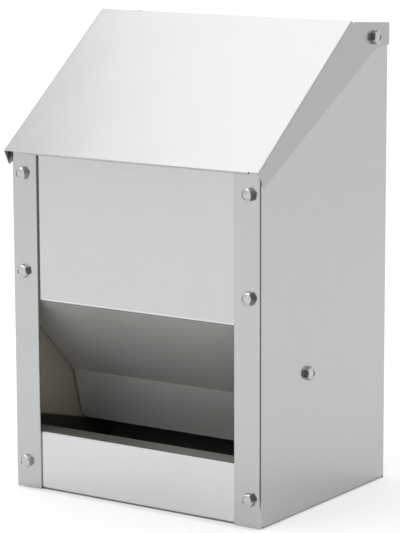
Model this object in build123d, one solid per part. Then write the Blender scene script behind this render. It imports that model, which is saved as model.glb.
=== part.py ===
from build123d import *
import math
import os

# Automatic poultry feeder of folded galvanised sheet, all sizes in millimetres.
# X runs across the feeder, Y from its front to its back, Z up from the ground.
# While it is built, x = 0 is its middle plane and y = 0 the face of its front strips.

# Sheet
sheet = 0.8
bend_radius = 1.0
hem_gap = 0.3
hem_inner_radius = 0.1
fit_gap = 0.3
panel_side_gap = 1.5

# Body
body_width = 240.0
body_depth = 190.0
strip_width = 25.0
strip_hem_width = 19.0
foot_width = 15.0
foot_setback = 3.5
relief_width = 1.5
deck_back_height = 374.2
deck_fall = 5.0
apron_length = 15.0

# Front panel, chute and drop, one folded sheet
window_top = 158.7
panel_top_gap = 1.5
return_width = 12.0
crease_depth = 76.6
crease_height = 84.2
drop_edge_depth = 88.3
drop_edge_height = 41.0
drop_corner_radius = 5.0
chute_tab_width = 25.0
chute_tab_setback = 5.0

# Trough
lip_height = 49.0
lip_width = 19.0
ramp_start = 108.0
ramp_top = 62.0
ramp_tab_height = 24.0

# Lid
lid_slope = 37.9
lid_fall = 88.7
lid_front_overhang = 7.9
lid_rear_overhang = 4.8
lid_side_gap = 2.2
lid_hem_width = 8.0
lid_hem_trim = 10.0
flange_front_depth = 14.0
flange_front_lead = 1.2
ear_corner_radius = 2.0
ear_throat_radius = 20.0
ear_throat_setback = 5.3
ear_behind_pivot = 24.0
ear_below_pivot = 7.6
ear_above_pivot = 10.6
ear_top_fall = 4.0
ear_notch_width = 2.5
ear_notch_depth = 2.4
ear_notch_radius = 0.3

# Fasteners, M6
shank_radius = 3.0
hole_radius = 3.3
running_gap = 0.05
hex_across_flats = 10.0
hex_face_radius = 4.75
head_height = 4.0
nut_height = 5.0
locknut_height = 6.0
locknut_collar_radius = 4.3
locknut_collar_height = 1.4
washer_radius = 6.0
washer_hole_radius = 3.2
washer_thickness = 1.6
hex_chamfer = 30.0
thread_end_chamfer = 0.6
short_bolt = 12.0
pivot_bolt = 16.0
bolt_inset = 10.8

# Bolt places
trough_bolt_height = 22.3
panel_bolt_edge = 22.6
deck_bolt_drop = 32.0
chute_bolt_edge = 24.9
chute_bolt_rise = 13.8
pivot_setback = 27.5
pivot_below_deck = 7.0
moving_gap = 0.3

# How far each hexagon is turned, from a corner on top in the strips and one to the back in the sides.
# The strips' values run from the lowest bolt up, the others from left to right.
front_left_turns = (1, 9, 38)
front_right_turns = (32, 29, 48)
rear_left_turns = (6, 25, 14)
rear_right_turns = (19, 3, 11)
chute_turns = (12, 26)
pivot_turns = (7, 20)

half_width = body_width / 2
web_inside = half_width - sheet
panel_half = web_inside - panel_side_gap
tab_half = web_inside - fit_gap
bolt_x = half_width - bolt_inset
outer_radius = bend_radius + sheet
hem_outer_radius = hem_inner_radius + sheet
hem_thickness = 2 * sheet + hem_gap
nut_bore_radius = shank_radius + running_gap

slope = math.radians(lid_slope)
up_slope = Vector(math.cos(slope), math.sin(slope))
under_lid = Vector(math.sin(slope), -math.cos(slope))
deck_slope = math.radians(deck_fall)


def lid_height(depth):
    """Height of the lid's top face, which is lid_fall below the back of the deck over the front strips."""
    return deck_back_height - lid_fall + depth * math.tan(slope)


def seat_height(depth):
    """Height of the edges that the lid rests on."""
    return lid_height(depth) - (sheet + fit_gap) / math.cos(slope)


def deck_height(depth):
    """Height of the roof deck's top face."""
    return deck_back_height + (body_depth - depth) * math.tan(deck_slope)


# The peak is where the lid's seat meets the deck
peak_depth = (deck_height(0) - seat_height(0)) / (math.tan(slope) + math.tan(deck_slope))
peak = Vector(peak_depth, deck_height(peak_depth))
lid_rear_depth = peak_depth + lid_rear_overhang
lid_front_end = Vector(-lid_front_overhang, lid_height(-lid_front_overhang))
lid_rear_end = Vector(lid_rear_depth, lid_height(lid_rear_depth))
lid_length = (lid_rear_end - lid_front_end).length
ear_inside = half_width + lid_side_gap
ear_outside = ear_inside + sheet

window = Vector(hem_thickness, window_top)
crease = Vector(crease_depth, crease_height)
down_chute = (crease - window).normalized()
above_chute = Vector(-down_chute.Y, down_chute.X)
chute_bolt = crease - down_chute * chute_bolt_edge + above_chute * chute_bolt_rise
pivot_depth = body_depth - pivot_setback
pivot_height = deck_height(pivot_depth) - pivot_below_deck

front_bolt_heights = (
    trough_bolt_height,
    window_top + panel_bolt_edge,
    seat_height(0) - panel_bolt_edge,
)
lowest_rear_bolt = ramp_top + ramp_tab_height / 2
highest_rear_bolt = deck_back_height - deck_bolt_drop
rear_bolt_heights = (
    lowest_rear_bolt,
    (lowest_rear_bolt + highest_rear_bolt) / 2,
    highest_rear_bolt,
)

overall_front = hem_outer_radius * (math.cos(slope) + math.sin(slope) - 1) - lid_front_overhang
overall_back = body_depth + head_height
origin_depth = (overall_front + overall_back) / 2


def folded_face(points, inner_radii=None):
    """Section of a folded sheet: the points lie on one face, and the sheet is on the left of their path."""
    path = [Vector(*point) for point in points]
    headings = [(end - start).normalized() for start, end in zip(path, path[1:])]
    lefts = [Vector(-heading.Y, heading.X) for heading in headings]
    other = [path[0] + lefts[0] * sheet]
    for corner, before, after in zip(path[1:-1], lefts, lefts[1:]):
        other.append(corner + (before + after) * (sheet / (1 + before.dot(after))))
    other.append(path[-1] + lefts[-1] * sheet)
    turns = [a.X * b.Y - a.Y * b.X for a, b in zip(headings, headings[1:])]
    inner_radii = inner_radii or [bend_radius] * len(turns)
    near = [radius + sheet * (turn > 0) for radius, turn in zip(inner_radii, turns)]
    away = [radius + sheet * (turn < 0) for radius, turn in zip(inner_radii, turns)]
    corner_radii = [0, *near, 0, 0, *away[::-1], 0]
    return make_face(FilletPolyline(*path, *other[::-1], radius=corner_radii, close=True))


def across(section, low, high):
    """A (depth, height) section carried across the feeder from x = low to x = high."""
    plane = Plane(origin=(low, 0, 0), x_dir=(0, 1, 0), z_dir=(1, 0, 0))
    return extrude(plane * section, amount=high - low)


def drill(places, direction, radius):
    """Cylinders along X or Y, each just long enough to pass the wall at its place."""
    turn = Rot(90, 0, 0) if direction == "Y" else Rot(0, 90, 0)
    return [Pos(*place) * turn * Cylinder(radius, strip_width) for place in places]


def both_sides(heights, depth):
    """Places of the strip bolts on the left and the right."""
    return [(side * bolt_x, depth, height) for side in (-1, 1) for height in heights]


def right_side_panel():
    """Channel with hemmed front and back strips and a foot, its top cut to the lid and the deck."""
    strip_edge = half_width - strip_width
    hem_end = strip_edge + strip_hem_width
    channel_path = [
        (hem_end, hem_thickness),
        (strip_edge, hem_thickness),
        (strip_edge, 0),
        (half_width, 0),
        (half_width, body_depth),
        (strip_edge, body_depth),
        (strip_edge, body_depth - hem_thickness),
        (hem_end, body_depth - hem_thickness),
    ]
    hem_radii = [hem_inner_radius] * 2
    channel_face = folded_face(channel_path, hem_radii + [bend_radius] * 2 + hem_radii)
    channel = extrude(channel_face, amount=peak.Y)
    outline = Polygon(
        (-sheet, 0),
        (body_depth + sheet, 0),
        (body_depth + sheet, deck_height(body_depth + sheet)),
        (peak.X, peak.Y),
        (-sheet, seat_height(-sheet)),
    )
    panel = channel & across(outline, 0, half_width)
    foot_length = body_depth - 2 * foot_setback
    web_cut = Box(2 * outer_radius, foot_length + 2 * relief_width, 2 * outer_radius)
    panel -= Pos(half_width, body_depth / 2, 0) * web_cut
    foot_path = [(half_width - foot_width, 0), (half_width, 0), (half_width, 2 * outer_radius)]
    foot_plane = Plane(origin=(0, body_depth - foot_setback, 0), x_dir=(1, 0, 0), z_dir=(0, -1, 0))
    panel += extrude(foot_plane * folded_face(foot_path), amount=foot_length)
    panel -= drill([(bolt_x, 0, height) for height in front_bolt_heights], "Y", hole_radius)
    panel -= drill([(bolt_x, body_depth, height) for height in rear_bolt_heights], "Y", hole_radius)
    side_holes = [
        (half_width, chute_bolt.X, chute_bolt.Y),
        (half_width, pivot_depth, pivot_height),
    ]
    return panel - drill(side_holes, "X", hole_radius)


def back_panel():
    """Back wall, roof deck and the apron that runs in under the lid."""
    back_face = body_depth - hem_thickness
    path = [
        (back_face, sheet),
        (back_face, deck_height(back_face)),
        peak,
        peak - up_slope * apron_length,
    ]
    panel = across(folded_face(path), -tab_half, tab_half)
    return panel - drill(both_sides(rear_bolt_heights, body_depth), "Y", hole_radius)


def hopper_front():
    """Front panel with its top return, then the chute, then the drop, with a tab up each side of the chute."""
    panel_top = seat_height(hem_thickness) - panel_top_gap
    path = [
        (hem_thickness + return_width, panel_top),
        (hem_thickness, panel_top),
        window,
        crease,
        (drop_edge_depth, drop_edge_height),
    ]
    panel = across(folded_face(path), -panel_half, panel_half)
    drop_corners = panel.edges().filter_by(
        lambda edge: abs(edge.length - sheet) < sheet / 2
        and edge.center().Z < drop_edge_height + sheet
    )
    panel = fillet(drop_corners, drop_corner_radius)

    tab_length = (crease - window).length - 2 * chute_tab_setback
    tab_end = crease - down_chute * chute_tab_setback
    tab_plane = Plane(
        origin=(0, tab_end.X, tab_end.Y),
        x_dir=(1, 0, 0),
        z_dir=(0, -down_chute.X, -down_chute.Y),
    )
    tab_path = [(panel_half - 2 * outer_radius, 0), (tab_half, 0), (tab_half, chute_tab_width)]
    tab = extrude(tab_plane * folded_face(tab_path), amount=tab_length)
    tab -= drill([(tab_half, chute_bolt.X, chute_bolt.Y)], "X", hole_radius)
    panel = panel + tab + mirror(tab, about=Plane.YZ)
    return panel - drill(both_sides(front_bolt_heights[1:], 0), "Y", hole_radius)


def feed_trough():
    """Lip, trough front, floor, ramp and the tab that is bolted to the back, one folded sheet."""
    back_face = body_depth - hem_thickness - sheet
    path = [
        (hem_thickness + lip_width, lip_height),
        (hem_thickness, lip_height),
        (hem_thickness, sheet),
        (ramp_start, sheet),
        (back_face, ramp_top),
        (back_face, ramp_top + ramp_tab_height),
    ]
    trough = across(folded_face(path), -panel_half, panel_half)
    trough -= drill(both_sides(front_bolt_heights[:1], 0), "Y", hole_radius)
    return trough - drill(both_sides(rear_bolt_heights[:1], body_depth), "Y", hole_radius)


def on_lid(along, below):
    """A (depth, height) point by its distance up the lid's slope from its front end and below its top face."""
    return lid_front_end + up_slope * along + under_lid * below


def lid_flange_outline():
    """Tapered side flange with the ear that turns on the pivot bolt."""
    ear_back = pivot_depth + ear_behind_pivot
    ear_bottom = pivot_height - ear_below_pivot
    ear_top = pivot_height + ear_above_pivot
    tip = on_lid(-flange_front_lead, flange_front_depth)
    notch_front = on_lid(lid_length, ear_notch_depth)
    notch_back = notch_front + Vector(ear_notch_width, 0)
    ear_front_top = ear_top + (ear_back - notch_back.X) * math.tan(math.radians(ear_top_fall))
    corners = [
        (on_lid(hem_gap + sheet, outer_radius), 0),
        (tip, ear_corner_radius / 2),
        ((pivot_depth + ear_throat_setback, ear_bottom), ear_throat_radius),
        ((ear_back, ear_bottom), ear_corner_radius),
        ((ear_back, ear_top), ear_corner_radius),
        ((notch_back.X, ear_front_top), ear_notch_radius),
        (notch_back, ear_notch_radius),
        (notch_front, ear_notch_radius),
        (on_lid(lid_length, outer_radius), 0),
    ]
    points = [Vector(*point) for point, radius in corners]
    return make_face(FilletPolyline(*points, radius=[radius for point, radius in corners], close=True))


def lid():
    """Sloping plate with a hem folded under its front edge and a flange down each side."""
    plate_half = ear_outside - outer_radius
    plain_front = on_lid(hem_gap + sheet, 0)
    lid_plate = across(folded_face([lid_rear_end, plain_front]), -plate_half, plate_half)
    hem_path = [
        on_lid(lid_length / 2, 0),
        lid_front_end,
        on_lid(0, hem_thickness),
        on_lid(lid_hem_width, hem_thickness),
    ]
    hem_half = ear_outside - lid_hem_trim
    hem = across(folded_face(hem_path, [hem_inner_radius] * 2), -hem_half, hem_half)
    plate = lid_plate + hem

    bend_plane = Plane(
        origin=(0, plain_front.X, plain_front.Y),
        x_dir=(1, 0, 0),
        z_dir=(0, -up_slope.X, -up_slope.Y),
    )
    bend_path = [
        (ear_outside, -outer_radius - sheet),
        (ear_outside, 0),
        (plate_half - sheet, 0),
    ]
    bend_length = lid_length - hem_gap - sheet
    bend = extrude(bend_plane * folded_face(bend_path), amount=-bend_length)
    flange = across(lid_flange_outline(), ear_inside, ear_outside)
    flange -= drill([(ear_inside, pivot_depth, pivot_height)], "X", shank_radius + running_gap)
    side = bend + flange
    return plate + side + mirror(side, about=Plane.YZ)


def hexagon(height):
    """Hexagonal prism on z = 0 whose top corners are turned down by a cone."""
    corner_radius = hex_across_flats / math.sqrt(3)
    fall = (corner_radius - hex_face_radius) * math.tan(math.radians(hex_chamfer))
    turned = Polygon(
        (0, 0),
        (corner_radius, 0),
        (corner_radius, height - fall),
        (hex_face_radius, height),
        (0, height),
    )
    prism = extrude(RegularPolygon(corner_radius, 6, rotation=30), amount=height)
    return prism & revolve(Plane.XZ * turned, Axis.Z)


def hexagon_both_ends(height):
    """Hexagonal prism on z = 0 with the corners turned down at both ends."""
    return hexagon(height) & Pos(0, 0, height) * Rot(180, 0, 0) * hexagon(height)


def hex_bolt(length):
    """Bolt with its head above z = 0 and its shank below."""
    shank = Pos(0, 0, -length / 2) * Cylinder(shank_radius, length)
    shank = chamfer(shank.edges().sort_by(Axis.Z)[0], thread_end_chamfer)
    return hexagon(head_height) + shank


def hex_nut():
    """Plain nut standing on z = 0."""
    return hexagon_both_ends(nut_height) - Cylinder(nut_bore_radius, 4 * nut_height)


def lock_nut():
    """Nut standing on z = 0 with a round locking collar on top."""
    body_height = locknut_height - locknut_collar_height
    collar = Pos(0, 0, locknut_height / 2) * Cylinder(locknut_collar_radius, locknut_height)
    collar = fillet(collar.edges().sort_by(Axis.Z)[-1], locknut_collar_height / 2)
    return hexagon_both_ends(body_height) + collar - Cylinder(nut_bore_radius, 4 * locknut_height)


def washer():
    """Washer lying on z = 0."""
    return Pos(0, 0, washer_thickness / 2) * (
        Cylinder(washer_radius, washer_thickness) - Cylinder(washer_hole_radius, washer_thickness)
    )


def facing(direction):
    """Turn that points a fastener's +Z along a direction."""
    turns = {"front": Rot(90, 0, 0), "back": Rot(-90, 0, 0), "right": Rot(0, 90, 0), "left": Rot(0, -90, 0)}
    return turns[direction]


def row(side, depths, heights, direction, turns, fastener):
    """The like fasteners of one strip."""
    return Compound(
        children=[
            Pos(side * bolt_x, depth, height) * facing(direction) * Rot(0, 0, turn) * fastener
            for depth, height, turn in zip(depths, heights, turns)
        ]
    )


def side_fastener(side, reach, depth, height, outward, turn, fastener):
    """A fastener on a side wall, its head or nut pointing out of the feeder or into it."""
    direction = "right" if (side > 0) == outward else "left"
    return Pos(side * reach, depth, height) * facing(direction) * Rot(0, 0, turn) * fastener


def build():
    """Every node of the feeder by name."""
    short = hex_bolt(short_bolt)
    nut = hex_nut()
    right_panel = right_side_panel()
    nodes = {
        "side_panel_right": right_panel,
        "side_panel_left": mirror(right_panel, about=Plane.YZ),
        "back_panel": back_panel(),
        "hopper_front": hopper_front(),
        "feed_trough": feed_trough(),
        "lid": lid(),
    }
    count = len(front_bolt_heights)
    seat_depth = hem_thickness + sheet
    front_nut_depths = [seat_depth] * count
    rear_nut_depths = [body_depth - seat_depth - sheet] + [body_depth - seat_depth] * (count - 1)
    pivot = (pivot_depth, pivot_height)
    chute = (chute_bolt.X, chute_bolt.Y)
    turns = {
        "left": (-1, front_left_turns, rear_left_turns, chute_turns[0], pivot_turns[0]),
        "right": (1, front_right_turns, rear_right_turns, chute_turns[1], pivot_turns[1]),
    }
    for name, (side, front, rear, chute_turn, pivot_turn) in turns.items():
        heights = front_bolt_heights
        nodes[f"front_bolts_{name}"] = row(side, [0] * count, heights, "front", front, short)
        nodes[f"front_nuts_{name}"] = row(side, front_nut_depths, heights, "back", rear, nut)
        heights = rear_bolt_heights
        nodes[f"rear_bolts_{name}"] = row(side, [body_depth] * count, heights, "back", rear, short)
        nodes[f"rear_nuts_{name}"] = row(side, rear_nut_depths, heights, "front", front, nut)
        nodes[f"chute_bolt_{name}"] = side_fastener(side, half_width, *chute, True, chute_turn, short)
        nodes[f"chute_nut_{name}"] = side_fastener(side, tab_half - sheet, *chute, False, chute_turn, nut)
        bolt_seat = ear_outside + moving_gap
        nodes[f"pivot_bolt_{name}"] = side_fastener(
            side, bolt_seat, *pivot, True, pivot_turn, hex_bolt(pivot_bolt)
        )
        nodes[f"pivot_washer_{name}"] = side_fastener(side, half_width, *pivot, True, 0, washer())
        nodes[f"pivot_locknut_{name}"] = side_fastener(side, web_inside, *pivot, False, 30, lock_nut())
    return nodes


os.makedirs("parts", exist_ok=True)
for node, piece in build().items():
    export_step(Pos(0, -origin_depth, 0) * piece, f"parts/{node}.step")
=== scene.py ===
import bpy
import math
from mathutils import Matrix, Vector


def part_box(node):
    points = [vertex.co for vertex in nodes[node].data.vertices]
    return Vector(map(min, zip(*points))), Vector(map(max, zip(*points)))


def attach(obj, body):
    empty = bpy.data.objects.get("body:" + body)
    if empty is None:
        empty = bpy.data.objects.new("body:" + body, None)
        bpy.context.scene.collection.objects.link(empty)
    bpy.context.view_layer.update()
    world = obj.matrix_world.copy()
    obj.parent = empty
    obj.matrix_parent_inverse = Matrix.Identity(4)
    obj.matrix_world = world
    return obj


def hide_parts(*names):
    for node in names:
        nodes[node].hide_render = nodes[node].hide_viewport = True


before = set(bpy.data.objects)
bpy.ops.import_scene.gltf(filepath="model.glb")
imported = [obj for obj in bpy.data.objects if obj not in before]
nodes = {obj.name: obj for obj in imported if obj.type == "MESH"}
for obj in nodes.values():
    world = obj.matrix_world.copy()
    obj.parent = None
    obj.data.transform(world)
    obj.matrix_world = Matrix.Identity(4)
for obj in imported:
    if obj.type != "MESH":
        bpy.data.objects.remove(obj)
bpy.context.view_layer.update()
bpy.ops.object.select_all(action="DESELECT")

# The viewpoint: a little right of the feeder and above it, as in the photograph.
# The picture is 400 wide and 533 high, and the lens is for its width.
camera_place = (1.12186, -1.64462, 0.54049)
camera_turn = (79.777, 0.205, 34.253)
camera_lens = 222.24
sensor_width = 36
bpy.ops.object.camera_add(location=camera_place, rotation=[math.radians(turn) for turn in camera_turn])
camera = bpy.context.object
camera.data.sensor_fit = "HORIZONTAL"
camera.data.sensor_width = sensor_width
camera.data.lens = camera_lens
bpy.context.scene.camera = camera

# The side panels: each one channel of 0.8 mm smooth galvanised steel, folded to a hemmed front
# strip, a hemmed back strip and a foot. The satin zinc coat has faint rolling streaks. Feed dust
# dulls it on the inside below the window's top; painted shade darkens it below a line by the trough.
panel_zinc = (0.487, 0.490, 0.492)
panel_shift = (0.13, 0.02, 0.31)
zinc_roughness = 0.17
zinc_share = 0.93
streak_scale = (900, 900, 6)
streak_contrast = 0.05
crystal_scale = 260
crystal_contrast = 0.02
crystal_gloss = 0.02
crystal_relief = 0.4
smear_scale = 14
smear_contrast = 0.06
smear_gloss = 0.10
relief_strength = 0.05
relief_height = 0.0002
wave_scale = 9
wave_height = 0.0008
# Painted highlight along the folds: the width of its band on either side of the fold and how much lighter
# it is.
fold_highlight_width = 0.0009
fold_highlight_strength = 0.2
dull_loss = 0.36
dull_roughness = 0.15
dusty_wall = (0.51, 0.485, 0.395)
window_top = 0.1587
window_fade = 0.003
wall_inside = 0.1194
wall_fade = 0.0004
strip_back = -0.0905
back_strip = 0.0945
strip_fade = 0.002
# Painted shade on the inside walls: how dark it is, the slope of its upper line and the heights over
# which it fades in.
wall_painted_shade = 0.85
shade_line_slope = 0.26
shade_line_top = 0.0401
shade_line_bottom = 0.0383


class Mat:
    """A value in a material: arithmetic on it adds Math nodes, and add() brings in any other node."""

    def __init__(self, tree, socket=None):
        self.tree = tree
        self.socket = socket

    def add(self, kind, settings=None, inputs=None, output=0):
        node = self.tree.nodes.new(kind)
        for name, value in (settings or {}).items():
            setattr(node, name, value)
        for name, value in (inputs or {}).items():
            if isinstance(value, Mat):
                self.tree.links.new(value.socket, node.inputs[name])
            else:
                node.inputs[name].default_value = value
        return Mat(self.tree, node.outputs[output] if node.outputs else None)

    def math(self, operation, first, second):
        return self.add("ShaderNodeMath", {"operation": operation}, {0: first, 1: second})

    def __add__(self, other):
        return self.math("ADD", self, other)

    def __radd__(self, other):
        return self.math("ADD", other, self)

    def __sub__(self, other):
        return self.math("SUBTRACT", self, other)

    def __rsub__(self, other):
        return self.math("SUBTRACT", other, self)

    def __mul__(self, other):
        return self.math("MULTIPLY", self, other)


def blank_material(name):
    """A new material with no nodes."""
    material = bpy.data.materials.new(name)
    material.use_nodes = True
    material.node_tree.nodes.clear()
    return material


def coordinate(tree, place, axis):
    """One coordinate of a place."""
    return tree.add("ShaderNodeSeparateXYZ", inputs={"Vector": place}, output=axis)


def fade(tree, value, start, end):
    """0 up to the start and 1 from the end on. The end may be the lower value of the two."""
    return tree.add("ShaderNodeMapRange", inputs={"Value": value, "From Min": start, "From Max": end})


def galvanised_sheet(name, zinc, roughness, shift, dull=None, dust_and_shade_zinc=panel_zinc, folds=(), painted_shade=0.0):
    """Smooth zinc coat: faint crystals, rolling streaks and a few smears, dull where feed has worn it,
    with a painted highlight along the folds at the given heights, and painted shade below a sloping line."""
    material = blank_material(name)
    tree = Mat(material.node_tree)
    place = tree.add("ShaderNodeTexCoord", output="Object")
    moved = tree.add("ShaderNodeMapping", inputs={"Vector": place, "Location": shift})
    streak_place = tree.add("ShaderNodeMapping", inputs={"Vector": moved, "Scale": streak_scale})
    streaks = tree.add("ShaderNodeTexNoise", inputs={"Vector": streak_place, "Scale": 1, "Detail": 2})
    crystals = tree.add(
        "ShaderNodeTexVoronoi",
        {"feature": "F1"},
        {"Vector": moved, "Scale": crystal_scale, "Randomness": 1},
        "Color",
    )
    crystal_tone = tree.add("ShaderNodeSeparateColor", inputs={"Color": crystals}, output="Red")
    smears = tree.add(
        "ShaderNodeTexNoise",
        inputs={"Vector": moved, "Scale": smear_scale, "Detail": 5, "Roughness": 0.6},
    )
    waves = tree.add("ShaderNodeTexNoise", inputs={"Vector": moved, "Scale": wave_scale, "Detail": 1})
    tone = (
        (streaks - 0.5) * streak_contrast
        + (crystal_tone - 0.5) * crystal_contrast
        + (smears - 0.5) * smear_contrast
        + 1
    )
    height = coordinate(tree, place, "Z")
    # Painted highlight: a lighter band along each fold.
    for fold in folds:
        off_fold = tree.math("ABSOLUTE", height - fold, 0)
        tone = tone + fade(tree, off_fold, fold_highlight_width, fold_highlight_width / 2) * fold_highlight_strength
    dull_and_shaded = dull(tree, place) if dull else 0.0
    # Painted shade: darker below a line that falls toward the back.
    if painted_shade:
        over_shade_line = height + coordinate(tree, place, "Y") * shade_line_slope
        tone = tone - dull_and_shaded * fade(tree, over_shade_line, shade_line_top, shade_line_bottom) * painted_shade
    base = tree.add(
        "ShaderNodeMix",
        {"data_type": "RGBA"},
        {0: dull_and_shaded, 6: (*zinc, 1), 7: (*dust_and_shade_zinc, 1)},
        2,
    )
    colour = tree.add(
        "ShaderNodeMix",
        {"data_type": "RGBA", "blend_type": "MULTIPLY"},
        {0: 1.0, 6: base, 7: tone},
        2,
    )
    gloss = roughness + (smears - 0.5) * smear_gloss + (crystal_tone - 0.5) * crystal_gloss
    relief = tree.add(
        "ShaderNodeBump",
        inputs={
            "Strength": relief_strength,
            "Distance": relief_height,
            "Height": streaks + crystal_tone * crystal_relief,
        },
    )
    wavy = tree.add(
        "ShaderNodeBump",
        inputs={"Strength": 1.0, "Distance": wave_height, "Height": waves, "Normal": relief},
    )
    surface = tree.add(
        "ShaderNodeBsdfPrincipled",
        inputs={
            "Base Color": colour,
            "Metallic": zinc_share - dull_and_shaded * dull_loss,
            "Roughness": gloss + dull_and_shaded * dull_roughness,
            "Normal": wavy,
        },
    )
    tree.add("ShaderNodeOutputMaterial", inputs={"Surface": surface})
    return material


def finish_node(name, material):
    """Gives a CAD node its material."""
    data = nodes[name].data
    data.materials.clear()
    data.materials.append(material)


def dusty_inside(tree, place):
    """1 on the inside of the walls, between the strips and below the window's top, 0 elsewhere."""
    depth = coordinate(tree, place, "Y")
    off_middle = tree.math("ABSOLUTE", coordinate(tree, place, "X"), 0)
    inside = fade(tree, off_middle, wall_inside + wall_fade, wall_inside)
    behind = fade(tree, depth, strip_back, strip_back + strip_fade)
    before = fade(tree, depth, back_strip, back_strip - strip_fade)
    below = fade(tree, coordinate(tree, place, "Z"), window_top, window_top - window_fade)
    return inside * behind * before * below


panel_sheet = galvanised_sheet(
    "galvanised_panel",
    panel_zinc,
    zinc_roughness,
    panel_shift,
    dusty_inside,
    dusty_wall,
    painted_shade=wall_painted_shade,
)
for side in ("left", "right"):
    finish_node(f"side_panel_{side}", panel_sheet)

# The back: one galvanised sheet, the wall behind, folded over at the top into a deck that closes
# the roof and an apron that runs in under the lid. It is bolted to the inside of the back strips.
back_shift = (0.71, 0.24, 0.05)
back_sheet = galvanised_sheet("galvanised_back", panel_zinc, zinc_roughness, back_shift)
finish_node("back_panel", back_sheet)

# The front of the hopper: one galvanised sheet from the top return down over panel and chute to
# the drop over the trough, bolted behind the front strips and by a tab to each side. Its chute and
# drop, below the window's top fold, are dulled by feed dust, and its folds carry a painted highlight.
# The front's zinc has a faint blue tint of painted light, the cast of the room in front of it.
front_zinc = (0.548, 0.553, 0.566)
front_shift = (0.63, 0.12, 0.31)
dusty_zinc = (0.585, 0.582, 0.565)
fold_height = 0.0016
crease_height = 0.0842


def below_window(tree, place):
    """1 on the chute and the drop, 0 above the fold."""
    return fade(tree, coordinate(tree, place, "Z"), window_top, window_top - fold_height)


front_sheet = galvanised_sheet(
    "galvanised_front",
    front_zinc,
    zinc_roughness,
    front_shift,
    below_window,
    dusty_zinc,
    (window_top + fold_highlight_width / 2, crease_height),
)
finish_node("hopper_front", front_sheet)

# The trough: one galvanised sheet from the lip at the front, over the floor and up the ramp to a
# tab at the back, bolted at both ends. Feed and beaks have scoured lip, floor and ramp dull, and
# painted shade makes them dark.
# The trough's zinc is painted lighter than the other sheets, standing in for the light on its front.
trough_zinc = (0.635, 0.638, 0.645)
trough_shift = (0.05, 0.42, 0.77)
# Scour dulls lip, floor and ramp; their dark colour is painted shade of the trough's inside.
scoured_and_shaded_zinc = (0.22, 0.215, 0.20)
lip_front = -0.0913
lip_fade = 0.0008


def behind_front(tree, place):
    """1 on the lip, the floor and the ramp, 0 on the front."""
    return fade(tree, coordinate(tree, place, "Y"), lip_front, lip_front + lip_fade)


trough_sheet = galvanised_sheet(
    "galvanised_trough", trough_zinc, zinc_roughness, trough_shift, behind_front, scoured_and_shaded_zinc
)
finish_node("feed_trough", trough_sheet)

# The lid: one sloping galvanised sheet with a hem under its front edge and a tapered flange down
# each side, whose ear turns on the hinge bolt. Its zinc is a little darker and less glossy.
lid_zinc = (0.422, 0.424, 0.422)
lid_roughness = 0.25
lid_shift = (0.33, 0.52, 0.11)
lid_sheet = galvanised_sheet("galvanised_lid", lid_zinc, lid_roughness, lid_shift)
finish_node("lid", lid_sheet)

# The bolts: M6 hexagon bolts of cold formed steel with a bright zinc plating, threaded up to the
# head, which has turned corners, a shallow dish on top and a washer face underneath. Three of them
# hold each front strip to the front panel and the trough.
across_flats = 0.010
head_height = 0.004
head_face_radius = 0.0042
washer_face = 0.00035
seat_overlap = 0.0005
corner_turn = math.radians(30)
round_sides = 72
dish_radius = 0.0034
dish_depth = 0.0007
dish_cut = 3 * dish_depth
dish_wall = math.radians(67)
swell_radius = 0.0006
swell_rise = 0.0003
swell_height = 1.4 * swell_rise
swell_slope = math.radians(7)
head_rounding = 0.00012
sliver = 0.00003
same_spot = 1e-6
flat_angle = math.radians(0.1)
sharp_angle = math.radians(25)
smooth_angle = math.radians(35)
thread_pitch = 0.001
thread_crest = 0.00297
thread_root = 0.00245
thread_profile = ((0, 0.125), (-1, 0.3125), (0, 0.25), (1, 0.3125))
thread_steps = 28
seat_gap = thread_pitch / 10
exact = 1e-7
end_rim = 0.0002
end_turn = math.radians(45)
short_bolt = 0.012
front_bolt_heights = (0.0223, 0.1813, 0.261506)
front_turns = {"left": (1, 9, 38), "right": (32, 29, 48)}
plating_colour = (0.64, 0.638, 0.632)
dull_plating = 0.6
plating_roughness = 0.10
patch_scale = 700
patch_roughness = 0.12
patch_relief = 3
pit_scale = 2600
pit_strength = 0.5
pit_depth = 0.00005


def pick(*pieces):
    """Selects these pieces alone, the first of them active."""
    bpy.ops.object.select_all(action="DESELECT")
    for piece in pieces:
        piece.select_set(True)
    bpy.context.view_layer.objects.active = pieces[0]


def trim(piece, tool, operation):
    """Joins a closed shape to the piece, cuts it away or keeps what both share."""
    pick(piece)
    modifier = piece.modifiers.new("trim", "BOOLEAN")
    modifier.operation = operation
    modifier.solver = "EXACT"
    modifier.object = tool
    bpy.ops.object.modifier_apply(modifier=modifier.name)
    bpy.data.objects.remove(tool)


def round_edges(piece, width):
    """Small rounding of every sharp edge, as plating and tumbling leave it. The slivers that the
    cuts left are closed first, because they would hold the rounding back."""
    pick(piece)
    bpy.ops.object.mode_set(mode="EDIT")
    bpy.ops.mesh.select_mode(type="VERT")
    bpy.ops.mesh.select_all(action="SELECT")
    bpy.ops.mesh.remove_doubles(threshold=sliver)
    bpy.ops.mesh.dissolve_limited(angle_limit=flat_angle)
    bpy.ops.object.mode_set(mode="OBJECT")
    modifier = piece.modifiers.new("rounding", "BEVEL")
    modifier.width = width
    modifier.segments = 2
    modifier.limit_method = "ANGLE"
    modifier.angle_limit = sharp_angle
    bpy.ops.object.modifier_apply(modifier=modifier.name)
    bpy.ops.object.mode_set(mode="EDIT")
    bpy.ops.mesh.select_all(action="SELECT")
    bpy.ops.mesh.remove_doubles(threshold=same_spot)
    bpy.ops.object.mode_set(mode="OBJECT")
    bpy.ops.object.shade_smooth_by_angle(angle=smooth_angle)


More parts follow.
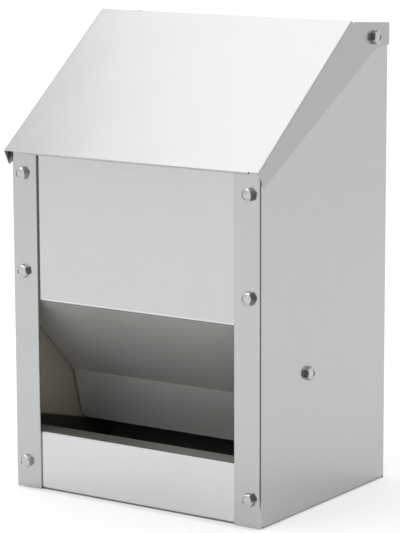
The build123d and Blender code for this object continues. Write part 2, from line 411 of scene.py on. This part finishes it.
def turned_cone(tip_radius, slope, length, tip_height, points_up):
    """Cone frustum on the Z axis, narrow at its tip, which points up or down."""
    tilt = 0 if points_up else math.pi
    middle = tip_height - length / 2 if points_up else tip_height + length / 2
    bpy.ops.mesh.primitive_cone_add(
        vertices=round_sides,
        radius1=tip_radius + length / math.tan(slope),
        radius2=tip_radius,
        depth=length,
        location=(0, 0, middle),
        rotation=(tilt, 0, 0),
    )
    return bpy.context.object


def hexagon(low, high, both_ends):
    """Hexagon bar from low to high with its corners turned down on top, or at both ends."""
    height = high - low
    bpy.ops.mesh.primitive_cylinder_add(
        vertices=6, radius=across_flats / math.sqrt(3), depth=height, location=(0, 0, (low + high) / 2)
    )
    bpy.ops.object.transform_apply(location=True)
    bar = bpy.context.object
    trim(bar, turned_cone(head_face_radius, corner_turn, 2 * height, high, True), "INTERSECT")
    if both_ends:
        trim(bar, turned_cone(head_face_radius, corner_turn, 2 * height, low, False), "INTERSECT")
    return bar


def drum(radius, low, high):
    """Plain cylinder on the Z axis."""
    bpy.ops.mesh.primitive_cylinder_add(
        vertices=round_sides, radius=radius, depth=high - low, location=(0, 0, (low + high) / 2)
    )
    bpy.ops.object.transform_apply(location=True)
    return bpy.context.object


def threaded_shank(length):
    """M6 thread down to the bolt's end, which is turned to a short cone. It stops just short of the
    seat at z = 0. The cuts are exact, because a loose one bends the caps."""
    bpy.ops.mesh.primitive_plane_add(size=thread_pitch)
    shank = bpy.context.object
    bpy.ops.object.mode_set(mode="EDIT")
    bpy.ops.mesh.select_mode(type="VERT")
    bpy.ops.mesh.merge(type="CENTER")
    bpy.ops.transform.translate(value=(thread_crest, 0, 0))
    flank = thread_crest - thread_root
    for outward, rise in thread_profile:
        step = (outward * flank, 0, rise * thread_pitch)
        bpy.ops.mesh.extrude_region_move(TRANSFORM_OT_translate={"value": step})
    bpy.ops.object.mode_set(mode="OBJECT")
    coil = shank.modifiers.new("coil", "SCREW")
    coil.screw_offset = thread_pitch
    coil.iterations = round(length / thread_pitch) + 3
    coil.steps = coil.render_steps = thread_steps
    coil.use_merge_vertices = True
    coil.merge_threshold = exact
    bpy.ops.object.modifier_apply(modifier=coil.name)
    shank.location.z = -length - 2 * thread_pitch
    pick(shank)
    bpy.ops.object.transform_apply(location=True)
    bpy.ops.object.mode_set(mode="EDIT")
    bpy.ops.mesh.select_all(action="SELECT")
    bpy.ops.mesh.remove_doubles(threshold=exact)
    bpy.ops.mesh.bisect(
        plane_co=(0, 0, -seat_gap),
        plane_no=(0, 0, 1),
        use_fill=True,
        clear_outer=True,
        threshold=exact,
    )
    bpy.ops.mesh.select_all(action="SELECT")
    bpy.ops.mesh.bisect(
        plane_co=(0, 0, -length - thread_pitch / 2),
        plane_no=(0, 0, 1),
        use_fill=True,
        clear_inner=True,
        threshold=exact,
    )
    bpy.ops.mesh.select_all(action="SELECT")
    bpy.ops.mesh.normals_make_consistent(inside=False)
    bpy.ops.object.mode_set(mode="OBJECT")
    trim(shank, turned_cone(thread_root - end_rim, end_turn, 2 * length, -length, False), "INTERSECT")
    bpy.ops.object.shade_smooth_by_angle(angle=sharp_angle)
    return shank


def hexagon_bolt(length):
    """Whole bolt, its head above z = 0 and its shank below."""
    head = hexagon(washer_face, head_height, False)
    dish_floor = head_height - dish_depth
    trim(head, turned_cone(dish_radius, dish_wall, dish_cut, dish_floor, False), "DIFFERENCE")
    swell_top = dish_floor + swell_rise
    trim(head, turned_cone(swell_radius, swell_slope, swell_height, swell_top, True), "UNION")
    trim(head, drum(head_face_radius, 0, washer_face + seat_overlap), "UNION")
    round_edges(head, head_rounding)
    shank = threaded_shank(length)
    pick(head, shank)
    bpy.ops.object.join()
    head.data.materials.append(bright_zinc)
    return head


def zinc_plating(name):
    """Bright zinc on steel, dull in patches and finely pitted."""
    material = blank_material(name)
    tree = Mat(material.node_tree)
    place = tree.add("ShaderNodeTexCoord", output="Object")
    patches = tree.add("ShaderNodeTexNoise", inputs={"Vector": place, "Scale": patch_scale, "Detail": 4})
    pits = tree.add("ShaderNodeTexNoise", inputs={"Vector": place, "Scale": pit_scale, "Detail": 2})
    dull_colour = [dull_plating * part for part in plating_colour]
    colour = tree.add(
        "ShaderNodeMix",
        {"data_type": "RGBA", "blend_type": "MIX"},
        {0: patches, 6: (*plating_colour, 1), 7: (*dull_colour, 1)},
        2,
    )
    relief = tree.add(
        "ShaderNodeBump",
        inputs={"Strength": pit_strength, "Distance": pit_depth, "Height": pits + patches * patch_relief},
    )
    surface = tree.add(
        "ShaderNodeBsdfPrincipled",
        inputs={
            "Base Color": colour,
            "Metallic": 1.0,
            "Roughness": plating_roughness + patches * patch_roughness,
            "Normal": relief,
        },
    )
    tree.add("ShaderNodeOutputMaterial", inputs={"Surface": surface})
    return material


facings = {
    "front": Matrix.Rotation(math.radians(90), 4, "X"),
    "back": Matrix.Rotation(math.radians(-90), 4, "X"),
    "right": Matrix.Rotation(math.radians(90), 4, "Y"),
    "left": Matrix.Rotation(math.radians(-90), 4, "Y"),
}


def fit_fasteners(node, pattern, places, facing, turns, name):
    """Copies of a fastener at their places, as one piece that stands for the CAD node."""
    copies = []
    for place, turn in zip(places, turns):
        pick(pattern)
        bpy.ops.object.duplicate()
        copy = bpy.context.object
        turned = facings[facing] @ Matrix.Rotation(math.radians(turn), 4, "Z")
        copy.matrix_world = Matrix.Translation(place) @ turned
        bpy.ops.object.transform_apply(location=True, rotation=True, scale=True)
        copies.append(copy)
    pick(*copies)
    if len(copies) > 1:
        bpy.ops.object.join()
    piece = bpy.context.object
    piece.name = piece.data.name = name
    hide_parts(node)
    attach(piece, "feeder_body")


bright_zinc = zinc_plating("bright_zinc")
bolt_pattern = hexagon_bolt(short_bolt)
for side in ("left", "right"):
    node = f"front_bolts_{side}"
    low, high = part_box(node)
    middle = (low.x + high.x) / 2
    places = [(middle, low.y + head_height, height) for height in front_bolt_heights]
    fit_fasteners(node, bolt_pattern, places, "front", front_turns[side], f"front_bolt_row_{side}")

# The bolts of the back strips: three of the same plated steel bolts in each strip, their heads
# behind. The lowest one also goes through the trough's back tab.
rear_bolt_heights = (0.074, 0.2081, 0.3422)
rear_turns = {"left": (6, 25, 14), "right": (19, 3, 11)}
for side in ("left", "right"):
    node = f"rear_bolts_{side}"
    low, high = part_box(node)
    middle = (low.x + high.x) / 2
    places = [(middle, high.y - head_height, height) for height in rear_bolt_heights]
    fit_fasteners(node, bolt_pattern, places, "back", rear_turns[side], f"rear_bolt_row_{side}")

# The chute's bolts: one more of the same bolts in each side panel, a third of the way up, its head
# outside. It holds the chute's tab.
chute_turns = {"left": 12, "right": 26}


def side_seat(node, side, inset=0.0, outer=True):
    """Where a fastener in a side panel sits: inset from the outer face of its CAD box, or from the
    inner one."""
    low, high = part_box(node)
    face = high.x if (side == "right") == outer else low.x
    outward = 1 if side == "right" else -1
    return (face - outward * inset, (low.y + high.y) / 2, (low.z + high.z) / 2)


for side, turn in chute_turns.items():
    node = f"chute_bolt_{side}"
    places = [side_seat(node, side, head_height)]
    fit_fasteners(node, bolt_pattern, places, side, [turn], f"side_bolt_{side}")
bpy.data.objects.remove(bolt_pattern)

# The hinge bolts: two longer bolts of the same make, each through an ear of the lid, a washer and
# the side panel. The ears turn on them.
pivot_bolt = 0.016
pivot_turns = {"left": 7, "right": 20}
bolt_pattern = hexagon_bolt(pivot_bolt)
for side, turn in pivot_turns.items():
    node = f"pivot_bolt_{side}"
    places = [side_seat(node, side, head_height)]
    fit_fasteners(node, bolt_pattern, places, side, [turn], f"hinge_bolt_{side}")
bpy.data.objects.remove(bolt_pattern)

# The nuts: plain M6 nuts of the same plated steel inside the feeder, countersunk at both ends of
# the bore. Those of the front strips are turned as the back bolts are, and the other way round.
nut_height = 0.005
nut_bore = 0.0029
nut_rounding = 0.0001
countersink = 0.0033
countersink_turn = math.radians(45)
cone_tip = 0.0001
sheet_thickness = 0.0008
nut_pattern = hexagon(0, nut_height, True)
trim(nut_pattern, drum(nut_bore, -nut_height, 2 * nut_height), "DIFFERENCE")
for tip_height, points_up in ((nut_height - countersink, False), (countersink, True)):
    cone = turned_cone(cone_tip, countersink_turn, nut_height, tip_height, points_up)
    trim(nut_pattern, cone, "DIFFERENCE")
round_edges(nut_pattern, nut_rounding)
nut_pattern.data.materials.append(bright_zinc)
for side, inward in (("left", "right"), ("right", "left")):
    node = f"front_nuts_{side}"
    low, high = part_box(node)
    middle = (low.x + high.x) / 2
    places = [(middle, low.y, height) for height in front_bolt_heights]
    fit_fasteners(node, nut_pattern, places, "back", rear_turns[side], f"front_nut_row_{side}")
    node = f"rear_nuts_{side}"
    low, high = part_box(node)
    places = [(middle, high.y, height) for height in rear_bolt_heights]
    places[0] = (middle, high.y - sheet_thickness, rear_bolt_heights[0])
    fit_fasteners(node, nut_pattern, places, "front", front_turns[side], f"rear_nut_row_{side}")
    node = f"chute_nut_{side}"
    places = [side_seat(node, side)]
    fit_fasteners(node, nut_pattern, places, inward, [chute_turns[side]], f"side_nut_{side}")
bpy.data.objects.remove(nut_pattern)

# The washers on the hinge bolts: stamped rings of plated steel between the side panels and the
# ears, which keep the ears off the panels.
washer_radius = 0.006
washer_bore = 0.0032
washer_thickness = 0.0016
washer_rounding = 0.00025
washer_pattern = drum(washer_radius, 0, washer_thickness)
trim(washer_pattern, drum(washer_bore, -washer_thickness, 2 * washer_thickness), "DIFFERENCE")
round_edges(washer_pattern, washer_rounding)
washer_pattern.data.materials.append(bright_zinc)
for side in ("left", "right"):
    node = f"pivot_washer_{side}"
    places = [side_seat(node, side, outer=False)]
    fit_fasteners(node, washer_pattern, places, side, [0], f"hinge_washer_{side}")
bpy.data.objects.remove(washer_pattern)

# The lock nuts inside, which hold the hinge bolts without clamping the ears: plated steel with a
# turned-in collar round a ring of nylon that grips the thread.
locknut_height = 0.006
locknut_rounding = 0.00015
locknut_turn = 30
collar_height = 0.0014
collar_radius = 0.0043
insert_radius = 0.0037
insert_depth = 0.0012
insert_top = 0.0057
nylon_colour = (0.72, 0.74, 0.76, 1)
nylon_roughness = 0.4
cloud_scale = 900
cloud_contrast = 0.1


def nylon(name):
    """Milky moulded nylon, slightly uneven."""
    material = blank_material(name)
    tree = Mat(material.node_tree)
    place = tree.add("ShaderNodeTexCoord", output="Object")
    clouding = tree.add("ShaderNodeTexNoise", inputs={"Vector": place, "Scale": cloud_scale, "Detail": 3})
    colour = tree.add(
        "ShaderNodeMix",
        {"data_type": "RGBA", "blend_type": "MULTIPLY"},
        {0: 1.0, 6: nylon_colour, 7: clouding * cloud_contrast + (1 - cloud_contrast / 2)},
        2,
    )
    surface = tree.add(
        "ShaderNodeBsdfPrincipled",
        inputs={"Base Color": colour, "Roughness": nylon_roughness + clouding * cloud_contrast},
    )
    tree.add("ShaderNodeOutputMaterial", inputs={"Surface": surface})
    return material


locknut_pattern = hexagon(0, locknut_height - collar_height, True)
insert_floor = insert_top - insert_depth
trim(locknut_pattern, drum(collar_radius, collar_height, locknut_height), "UNION")
trim(locknut_pattern, drum(nut_bore, -locknut_height, 2 * locknut_height), "DIFFERENCE")
trim(locknut_pattern, drum(insert_radius, insert_floor, 2 * locknut_height), "DIFFERENCE")
round_edges(locknut_pattern, locknut_rounding)
locknut_pattern.data.materials.append(bright_zinc)
insert = drum(insert_radius, insert_floor, insert_top)
trim(insert, drum(nut_bore, 0, 2 * locknut_height), "DIFFERENCE")
round_edges(insert, locknut_rounding)
insert.data.materials.append(nylon("nylon_insert"))
pick(locknut_pattern, insert)
bpy.ops.object.join()
for side, inward in (("left", "right"), ("right", "left")):
    node = f"pivot_locknut_{side}"
    places = [side_seat(node, side)]
    fit_fasteners(node, locknut_pattern, places, inward, [locknut_turn], f"hinge_locknut_{side}")
bpy.data.objects.remove(locknut_pattern)

# The floor that the feeder stands on: plain, pale and matt. It glows white to the camera, less so
# round the feeder and not at all under it, so that it keeps the feeder's soft shadow.
floor_size = 60
floor_tone = 0.95
floor_glow = 1.1
mirrored_glow = 0.4
near_glow = 0.45
glow_start = 0.17
glow_full = 0.7
footprint_side = (0.119, 0.123)
footprint_front = (0.097, 0.101)
bpy.ops.mesh.primitive_plane_add(size=floor_size, location=(0, 0, 0))
floor = bpy.context.object
floor.name = "floor"
floor_material = blank_material("pale_floor")
tree = Mat(floor_material.node_tree)
camera_ray = tree.add("ShaderNodeLightPath", output="Is Camera Ray")
mirror_ray = tree.add("ShaderNodeLightPath", output="Is Glossy Ray")
matt = tree.add("ShaderNodeBsdfDiffuse", inputs={"Color": (floor_tone, floor_tone, floor_tone, 1)})
glow = tree.add("ShaderNodeEmission", inputs={"Color": (1, 1, 1, 1), "Strength": floor_glow})
place = tree.add("ShaderNodeTexCoord", output="Object")
distance = tree.add("ShaderNodeVectorMath", {"operation": "LENGTH"}, {0: place}, "Value")
far = fade(tree, distance, glow_start, glow_full)
beside = fade(tree, tree.math("ABSOLUTE", coordinate(tree, place, "X"), 0), *footprint_side)
before = fade(tree, tree.math("ABSOLUTE", coordinate(tree, place, "Y"), 0), *footprint_front)
share = tree.math("MAXIMUM", far, tree.math("MAXIMUM", beside, before) * near_glow)
mixed = tree.add(
    "ShaderNodeMixShader",
    inputs={0: (camera_ray + mirror_ray * mirrored_glow) * share, 1: matt, 2: glow},
)
tree.add("ShaderNodeOutputMaterial", inputs={"Surface": mixed})
floor.data.materials.append(floor_material)

# The dark side of the room, toward the photographer, that folds and bolt heads mirror: a dark
# strip that widens along the floor and stands up behind the photographer. Only reflections see it.
card_near = 0.20
card_far = 0.95
card_near_width = 0.14
card_far_width = 1.25
card_height = 1.3
card_lift = 0.002
card_turn = math.radians(49)
cloth_colour = (1, 0.98, 0.95, 1)
cloth_light = 0.22
bpy.ops.mesh.primitive_plane_add(size=1)
card = bpy.context.object
card.name = "dark_backdrop"
for corner in card.data.vertices:
    is_near = corner.co.y > 0
    corner.co.x *= card_near_width if is_near else card_far_width
    corner.co.y = -card_near if is_near else -card_far
bpy.ops.object.mode_set(mode="EDIT")
bpy.ops.mesh.select_mode(type="EDGE")
bpy.ops.mesh.select_all(action="DESELECT")
bpy.ops.object.mode_set(mode="OBJECT")
card_middle = -(card_near + card_far) / 2
for edge in card.data.edges:
    edge.select = all(card.data.vertices[end].co.y < card_middle for end in edge.vertices)
bpy.ops.object.mode_set(mode="EDIT")
bpy.ops.mesh.extrude_region_move(TRANSFORM_OT_translate={"value": (0, 0, card_height)})
bpy.ops.object.mode_set(mode="OBJECT")
card.matrix_world = Matrix.Translation((0, 0, card_lift)) @ Matrix.Rotation(card_turn, 4, "Z")
bpy.ops.object.transform_apply(location=True, rotation=True, scale=True)
card.visible_camera = card.visible_diffuse = card.visible_shadow = card.visible_transmission = False
card_material = blank_material("dark_cloth")
tree = Mat(card_material.node_tree)
cloth = tree.add("ShaderNodeEmission", inputs={"Color": cloth_colour, "Strength": cloth_light})
tree.add("ShaderNodeOutputMaterial", inputs={"Surface": cloth})
card.data.materials.append(card_material)

# The white room and its plain soft light: level light from all round, a large soft lamp overhead
# at the left and a weak one at the front left.
room_light = 1.0
world = bpy.data.worlds.new("room")
world.use_nodes = True
world.node_tree.nodes.clear()
bpy.context.scene.world = world
tree = Mat(world.node_tree)
air = tree.add("ShaderNodeBackground", inputs={"Color": (1, 1, 1, 1), "Strength": room_light})
tree.add("ShaderNodeOutputWorld", inputs={"Surface": air})


def soft_box(name, place, target, width, height, power):
    """A soft lamp that faces the target, its width level."""
    bpy.ops.object.light_add(type="AREA", location=place)
    lamp = bpy.context.object
    lamp.name = name
    lamp.rotation_euler = (Vector(target) - Vector(place)).to_track_quat("-Z", "Y").to_euler()
    lamp.data.shape = "RECTANGLE"
    lamp.data.size = width
    lamp.data.size_y = height
    lamp.data.energy = power


soft_box("top_light", (-0.65, 0.05, 1.9), (-0.65, 0.0501, 0), width=1.3, height=1.3, power=6.8)
soft_box("front_light", (-0.75, -1.4, 1.6), (0, 0, 0.2), width=1.5, height=0.7, power=5)

bpy.context.scene.view_settings.view_transform = "Standard"
